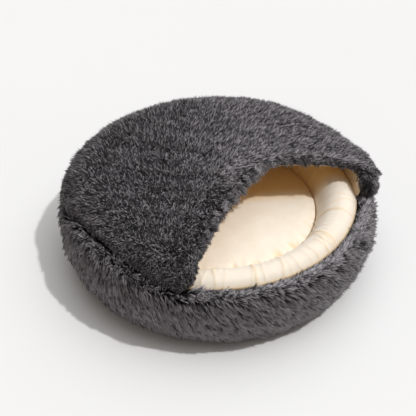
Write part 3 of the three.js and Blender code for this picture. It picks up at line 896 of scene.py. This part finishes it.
def clumps_at(points, size=CLUMP_MM):
    """The nearest clump to each point. Clumps lie one in each cell of a lattice, at a random place in
    it. Returns the way to the clump's middle, its own lean, and its tone."""
    cell = np.floor(points / size).astype(int)
    nearest = np.full(len(points), np.inf)
    way = np.zeros_like(points)
    key = np.zeros_like(cell)
    for shift in np.ndindex(3, 3, 3):
        near = cell + np.array(shift) - 1
        index = near % CELLS
        middle = (near + clump_jitter[tuple(index.T)]) * size
        far = ((middle - points) ** 2).sum(axis=1)
        closer = far < nearest
        nearest[closer] = far[closer]
        way[closer] = (middle - points)[closer]
        key[closer] = index[closer]
    return way, clump_lean[tuple(key.T)], clump_tone[tuple(key.T)]


def grow(root, normal, flow, lean, length, mess=0.25, gather=0.6, clump_mess=0.3, size=CLUMP_MM,
         uneven=0.12, own_share=0.6, shade=1):
    """Root, belly, tip and tone of each lock. The lock's way is normal + lean flow + its clump's own
    lean + its own mess, at unit length, and its tip is drawn towards the clump's middle. own_share of
    its tone is its own, and the rest its clump's. The tone is raised to 1 / shade, so a shade below 1
    leaves fewer bright locks and one above 1 gives more."""
    way_in, own, tone = clumps_at(root, size)
    way = unit(normal + np.broadcast_to(lean, len(root))[:, None] * flow + clump_mess * own
               + mess * rng.normal(size=root.shape))
    level = way_in - (way_in * normal).sum(axis=1, keepdims=True) * normal
    length = length * rng.uniform(0.75, 1.1, len(root)) * (1 + uneven * np.clip(own[:, 0], -2, 2))
    length = length[:, None]
    tip = root + way * length + gather * level
    belly = root + 0.45 * length * unit(0.8 * normal + way) + 0.3 * gather * level
    tip[:, 2] = np.clip(tip[:, 2], 0.6, PILE_TOP)
    belly[:, 2] = np.maximum(belly[:, 2], 1.2)
    mixed = lerp(tone, rng.random(len(root)), own_share)
    # shade is painted light and shade: it sets how many locks are bright at each place
    tone = np.clip(0.5 + TONE_SPREAD * (mixed - 0.5), 0, 1) ** (1 / shade)
    return root, belly, tip, tone


def blades(name, root, belly, tip, tone, width):
    """Locks as one mesh. Each is a closed blade of four triangles: a root, two corners width apart at
    its belly, and a tip. It is bent at the belly, which gives it its thickness."""
    chord = unit(tip - root)
    bulge = unit(belly - (root + tip) / 2)
    side = np.cross(chord, bulge) + 0.6 * rng.normal(size=root.shape)
    side = unit(side - (side * chord).sum(axis=1, keepdims=True) * chord)
    width = (width * rng.uniform(0.7, 1.25, len(root)))[:, None]
    middle = belly + 0.25 * width * bulge
    left, right = middle + side * width / 2, middle - side * width / 2
    turned = (np.cross(left - root, right - root) * (tip - root)).sum(axis=1) < 0
    left[turned], right[turned] = right[turned], left[turned].copy()
    points = np.stack([root, left, right, tip], axis=1)
    pattern = np.array([(0, 2, 1), (0, 1, 3), (1, 2, 3), (0, 3, 2)])
    faces = (np.arange(len(root))[:, None, None] * 4 + pattern).reshape(-1, 3)
    shades = {
        "along": np.tile([0, 0.5, 0.5, 1], len(root)),
        "tone": np.repeat(tone, 4),
    }
    return make_piece(name, points.reshape(-1, 3), [faces], grey_pile, shades)


# %% Pile of the ring
RING_LOCKS = 90000
LOCK_WIDTH = 1.7
CREST_COLUMN = 54  # the column of the ring's grid that runs along its crest
SEAM_CLEAR = 1.8  # columns below the crest, under the hood's seam, that carry no pile
place = scatter(ring_skin, int(RING_LOCKS * 1.25))
column = place[1] + place[3]
azimuth = sample(np.repeat(AZIMUTH[:, None], RING_ROWS, axis=1), place)
covered = (azimuth > LAST_BARE[1]) | (azimuth < LAST_BARE[0])
hidden = covered & (column > CREST_COLUMN - SEAM_CLEAR)
keep = np.flatnonzero(~hidden)[:RING_LOCKS]
place = tuple(p[keep] for p in place)
column = column[keep]
azimuth = azimuth[keep]
covered = covered[keep]
root = sample(ring_skin, place)
normal = unit(sample(ring_normals, place))
down = unit(sample(-np.gradient(ring_skin, axis=1), place))
round_way = around(1.0, azimuth + 90, 0.0)
to_crest = smooth(column, CREST_COLUMN - 12, CREST_COLUMN)
flow = unit(down + 0.9 * round_way)
lean = lerp(1.6, np.where(covered, 0.35, 1.2), to_crest)
length = lerp(20, 16.5, to_crest) * smooth(column, -10, 14)
# Painted light and shade: the pile is brighter round the front, less so at its right,
# and darker towards the crest
front = smooth(azimuth, -85, -20) * (1 - smooth(azimuth, 90, 150))
shade = lerp(2.0, 7.0, front) * (1 - 0.5 * smooth(azimuth, -5, 45)) * lerp(1, 0.35, to_crest)
ring_locks = grow(root, normal, flow, lean, length, mess=0.16, gather=0.8, clump_mess=0.2, own_share=0.6,
                  shade=shade)
RING_PARTS = 3
order = np.argsort(azimuth)
for k, chosen in enumerate(np.array_split(order, RING_PARTS)):
    blades(f"ring_pile_{k + 1}", *(part[chosen] for part in ring_locks), LOCK_WIDTH)

# %% Pile of the hood
HOOD_LOCKS = 90000
HOOD_LOCK_WIDTH = 1.35
HOOD_CLUMP_MM = 3.4
HOOD_PILE = 10
PICTURE_RIGHT = np.array([0.743, -0.669, 0.0])  # to the right in the picture, over the bed
closed = np.concatenate([hood_reach, hood_reach[:1]])
closed_normals = normals_of(closed)
closed_inset = np.concatenate([hood_inset, hood_inset[:1]])
root_depth = HOOD_PILE * smooth(closed_inset, -4, 12)
hood_roots = closed - root_depth[..., None] * closed_normals
outward = unit(-np.gradient(closed, axis=1))
place = scatter(closed, HOOD_LOCKS)
root = sample(hood_roots, place)
normal = unit(sample(closed_normals, place))
inset = sample(closed_inset, place)
flow = unit(sample(outward, place))
on_edge = place[0] >= len(SEAM_AZIMUTH)
to_right = root @ PICTURE_RIGHT
edge_place = np.clip((place[0] + place[2] - len(SEAM_AZIMUTH) + 1) / (len(EDGE_SHARE) + 1), 0, 1)
taper = np.where(on_edge, np.sin(math.pi * edge_place) ** 0.8, 0.6 + 0.4 * smooth(place[0], 0, 14))
# At its right the pile has been brushed to the right
combed = smooth(to_right, -20, 110) * (1 - smooth(to_right, 130, 200)) * smooth(inset, 10, 40)
flow = unit(flow + combed[:, None] * PICTURE_RIGHT)
inner = smooth(inset, 20, 80)
at_seam = lerp(0.3, 1.0, smooth(inset, 2, 14))
lean = np.where(on_edge, lerp(1.8, 0.3, inner), lerp(at_seam, 0.3, inner))
lean = lean + 0.8 * combed
grown = smooth(inset, 0, 14)
length = np.where(on_edge, lerp(5 + 8 * taper, 15, grown), lerp(6.0, 15 * taper, grown))
# Painted light and shade: the hood is dark at its left, lighter at its right and along its free edge
uneven_shade = 1 + 0.4 * clump(0.7 * root[:, 0], 0.7 * root[:, 1])
shade = lerp(0.1, 0.5, smooth(to_right, -130, 110)) * uneven_shade
edge_shade = lerp(0.5, 1.6, smooth(to_right, -40, 100))
shade = np.where(on_edge, lerp(edge_shade, shade, smooth(inset, 25, 100)),
                 lerp(0.6, shade, smooth(inset, 12, 55)))
hood_locks = grow(root, normal, flow, lean, length, mess=0.3, clump_mess=0.2, size=HOOD_CLUMP_MM,
                  own_share=0.85, shade=shade)
HOOD_PARTS = 2
order = np.argsort(root[:, 0])
for k, chosen in enumerate(np.array_split(order, HOOD_PARTS)):
    blades(f"hood_pile_{k + 1}", *(part[chosen] for part in hood_locks), HOOD_LOCK_WIDTH)

# %% Pile of the hood's free edge
EDGE_LOCKS = 9500
TUFT_MM = 9.0
share = rng.uniform(0.02, 0.98, EDGE_LOCKS)
edge, out = arch_edge(share)
taper = np.sin(math.pi * share) ** 0.8
deep = rng.random(EDGE_LOCKS)
inside = rng.uniform(1, 12, EDGE_LOCKS)
root = edge - out * inside[:, None]
root[:, 2] += 3 * smooth(inside, 0, 10) - (LIP_T * deep - 1) * (1 - smooth(inside, 2, 8))
normal = unit(out + UP * (0.45 - 0.5 * deep[:, None]))
flow = np.broadcast_to(-UP, root.shape)
# Painted light: the edge's tufts are brighter towards its right end
edge_locks = grow(root, normal, flow, 0.15, 4.5 + 9.5 * taper, mess=0.2, gather=0.5, size=TUFT_MM,
                  uneven=0.2, shade=lerp(0.6, 2.0, smooth(share, 0.2, 0.6)))
edge_pile = blades("hood_edge_pile", *edge_locks, LOCK_WIDTH)
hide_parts("hood_edge_locks")

# %% The hood's toe
TOE_LOCKS = 5400
TOE_PILE = 8
TOE_ROUND = 48
TOE_RINGS = 23  # between its two poles
turn, rise = np.meshgrid(
    np.linspace(0, 2 * math.pi, TOE_ROUND + 1),
    np.linspace(-math.pi / 2, math.pi / 2, TOE_RINGS + 2),
    indexing="ij",
)
ball = np.stack([np.cos(rise) * np.cos(turn), np.cos(rise) * np.sin(turn), np.sin(rise)], axis=-1)
toe_out = around(1.0, TOE_AZIMUTH, 0.0)
toe_along = around(1.0, TOE_AZIMUTH + 90, 0.0)
toe_axes = np.stack([toe_out, toe_along, UP])
toe_middle = around(TOE_R, TOE_AZIMUTH, TOE_Z)
toe_skin = toe_middle + (ball * (TOE_SIZE - TOE_PILE)) @ toe_axes
toe_normals = unit((ball / TOE_SIZE) @ toe_axes)
toe_lowest = ring_top(TOE_AZIMUTH - 8)["crest_z"] + 3 * GAP
toe_skin[..., 2] = np.maximum(toe_skin[..., 2], toe_lowest)
toe_points = toe_skin[:-1, 1:-1]
poles = toe_skin[0, [0, -1]]
rim = np.arange(TOE_ROUND) * TOE_RINGS
pole = TOE_ROUND * TOE_RINGS
toe_backing = make_piece(
    "toe_backing",
    np.concatenate([toe_points.reshape(-1, 3), poles]),
    [grid_faces(TOE_ROUND, TOE_RINGS, close_rows=True), fan_faces(rim[::-1], pole),
     fan_faces(rim + TOE_RINGS - 1, pole + 1)],
    pile_backing,
)
place = scatter(toe_skin, TOE_LOCKS)
root = sample(toe_skin, place)
normal = unit(sample(toe_normals, place))
# No locks where the toe faces straight inward, or at its far end
outside = (normal @ toe_out > -0.9) & (normal @ toe_along < 0.35)
root = root[outside]
normal = normal[outside]
flow = unit(-UP - 0.4 * toe_along + 0 * root)
# Painted shade: the toe's locks are dark except where it faces outward
toe_locks = grow(root, normal, flow, 1.0, 11.0, shade=np.where(normal @ toe_out > 0.35, 1.2, 0.3))
toe_pile = blades("toe_pile", *toe_locks, LOCK_WIDTH)

# %% Pile of the ring's inner edge
RIM_LOCKS = 7000
azimuth = rng.uniform(LAST_BARE[0] + 2, LAST_BARE[1] - 2, RIM_LOCKS)
top = ring_top(azimuth)
across = rng.random(RIM_LOCKS)
root = around(lerp(top["ledge_r"] - 2, top["crest_r"] + 4, across), azimuth,
              lerp(top["ledge_z"] - 5, top["crest_z"] - 5.5, across) - rng.uniform(0, 2, RIM_LOCKS))
normal = unit(UP + around(-0.25, azimuth, 0.0))
flow = unit(around(1.0, azimuth, 0.0) + around(0.9, azimuth + 90, 0.0))
# Painted light: the inner edge's pile is lighter towards the right
rim_locks = grow(root, normal, flow, 1.1, 12.0, mess=0.18, shade=lerp(0.5, 1.0, smooth(azimuth, -50, 40)))
rim_pile = blades("ring_edge_pile", *rim_locks, LOCK_WIDTH)
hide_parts("ring_edge_locks")

# %% [markdown]
# ## Pile pieces
# The base is a full disc, as wide as the ring's wall allows. The hood's cloth modelled above and its
# lining each have an area of about 0.13 square metres. The pieces of the hood's pile, its free edge and
# its toe are gathered in one list.

# %% Pile pieces
pile_pieces = [o for o in bpy.data.objects if o.name.startswith("hood_pile")]
pile_pieces += [edge_pile, toe_backing, toe_pile]

# %% [markdown]
# ## Floor and light
# The bed stands on a plain pale floor. A narrow key lamp, high up to the front right, gives the crisp
# shadow on the cushion and the floor. A wide softbox nearly overhead and a warm pale sky fill it. The
# floor belongs to the stage, not to the bed.

# %% Floor
def floor_material():
    """Matt studio paper, slightly uneven so that it isn't one flat value."""
    material, tree, output = new_material("matt_studio_paper")
    colour = ramp(tree, noise(tree, 900.0), [(0.3, "#e8e8e8"), (0.7, "#eaeaea")])
    surface = add(tree, "BsdfPrincipled", {
        "Base Color": colour,
        "Roughness": 0.95,
        "Specular IOR Level": 0.1,
    })
    tree.links.new(surface.outputs["BSDF"], output.inputs["Surface"])
    return material


FLOOR_HALF = 8000
corners = np.array([(-1, -1, 0), (1, -1, 0), (1, 1, 0), (-1, 1, 0)]) * FLOOR_HALF
floor_mesh = bpy.data.meshes.new("floor")
floor_mesh.from_pydata((corners * MM).tolist(), [], [(0, 1, 2, 3)])
floor_mesh.materials.append(floor_material())
floor = bpy.data.objects.new("floor", floor_mesh)
bpy.context.scene.collection.objects.link(floor)

# %% Light
LAMPS = [
    # name, towards it, energy, angle, colour
    ("key", (0.29, -0.385, 0.875), 1.55, 2.5, (1.0, 1.0, 1.0)),
    ("softbox", (0.36, 0.06, 0.93), 1.46, 75, (0.97, 1.0, 1.04)),
]
for name, towards, energy, angle, colour in LAMPS:
    lamp_data = bpy.data.lights.new(name, "SUN")
    lamp_data.energy = energy
    lamp_data.angle = math.radians(angle)
    lamp_data.color = colour
    lamp = bpy.data.objects.new(name, lamp_data)
    lamp.rotation_euler = Vector(towards).to_track_quat("Z", "Y").to_euler()
    bpy.context.scene.collection.objects.link(lamp)

world = bpy.data.worlds.new("studio")
world.use_nodes = True
world.node_tree.nodes["Background"].inputs["Color"].default_value = (1.09, 1.0, 0.91, 1.0)
world.node_tree.nodes["Background"].inputs["Strength"].default_value = 0.27
bpy.context.scene.world = world
bpy.context.scene.view_settings.view_transform = "Standard"

# %% Finish
bpy.context.view_layer.update()
